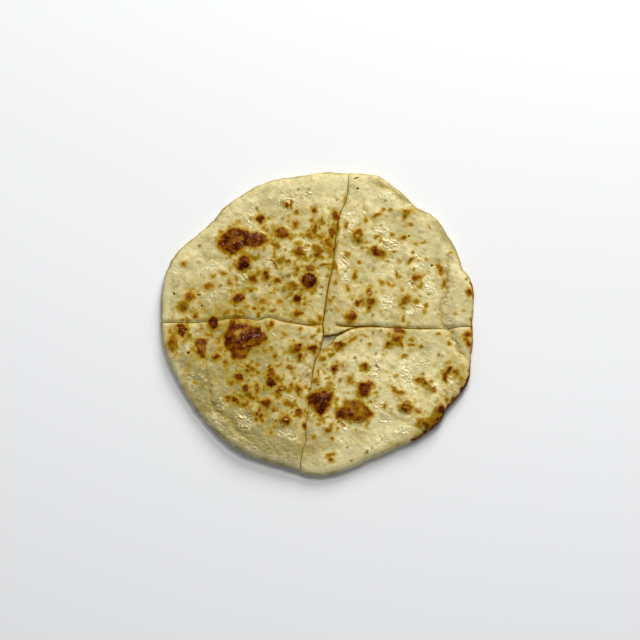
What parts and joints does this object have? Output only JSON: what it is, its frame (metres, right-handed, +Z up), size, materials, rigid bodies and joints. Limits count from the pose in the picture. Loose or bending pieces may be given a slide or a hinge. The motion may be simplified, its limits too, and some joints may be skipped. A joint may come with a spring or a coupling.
{
  "type": "cheese naan",
  "caption": "Round cheese-filled naan with blistered, scorched crust and a puffed rim, cut crosswise into quarters that lie together.",
  "frame": {"origin": "middle of the bread's footprint, on the surface that it lies on", "axes": "+Z up, +X to the right and +Y to the back, as the bread is seen in the picture"},
  "size_m": [0.2018, 0.1992, 0.0097],
  "materials": {
    "naan_dough": "pale baked dough with golden and dark brown scorch spots, brushed with butter",
    "melted_cheese": "smooth melted cheese, slightly glossy"
  },
  "bodies": {
    "root": {"dough_back_left": "naan_dough", "cheese_back_left": "melted_cheese", "dough_back_right": "naan_dough", "cheese_back_right": "melted_cheese", "dough_front_left": "naan_dough", "cheese_front_left": "melted_cheese", "dough_front_right": "naan_dough", "cheese_front_right": "melted_cheese"}
  },
  "joints": []
}
